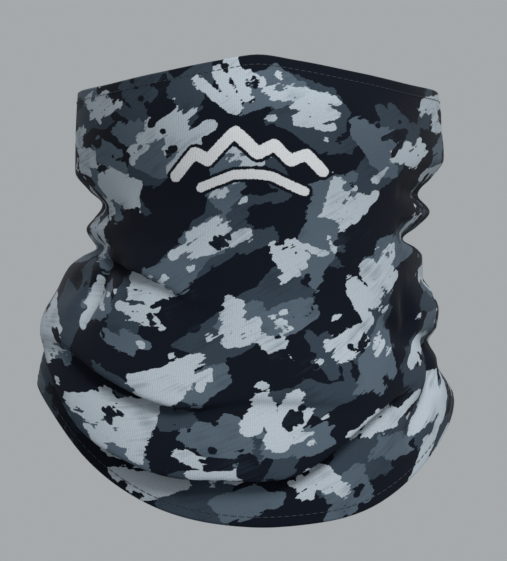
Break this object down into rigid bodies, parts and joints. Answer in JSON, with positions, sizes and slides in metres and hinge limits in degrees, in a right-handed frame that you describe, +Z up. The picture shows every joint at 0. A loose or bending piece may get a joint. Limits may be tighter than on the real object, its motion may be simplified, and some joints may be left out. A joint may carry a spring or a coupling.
{
  "type": "neck gaiter",
  "caption": "Seamed tube of printed stretch knit with turned hems, in its worn shape: raised over the nose, drawn in at the neck and spread over the collar.",
  "frame": {"origin": "on the axis of the wearer's neck, at the height where the tube is narrowest", "axes": "+Z up along the neck, front of the gaiter towards -Y, +X to the right of somebody looking at the front"},
  "size_m": [0.1976, 0.1803, 0.218],
  "materials": {
    "printed_knit": "sublimation-printed polyester and elastane interlock knit, matt with a slight sheen",
    "wrong_side_knit": "unprinted wrong side of the knit, matt",
    "dark_thread": "spun polyester sewing thread",
    "looper_thread": "textured polyester overedge thread",
    "satin_ribbon": "plain woven satin ribbon"
  },
  "bodies": {
    "root": {"tube_panel": "printed_knit", "top_hem_turning": "wrong_side_knit", "bottom_hem_turning": "wrong_side_knit", "top_hem_needle_thread": "dark_thread", "bottom_hem_needle_thread": "dark_thread", "top_hem_looper_thread": "looper_thread", "bottom_hem_looper_thread": "looper_thread", "back_seam_outer_thread": "dark_thread", "back_seam_inner_thread": "looper_thread", "care_label": "satin_ribbon", "care_label_tack": "looper_thread"}
  },
  "joints": []
}
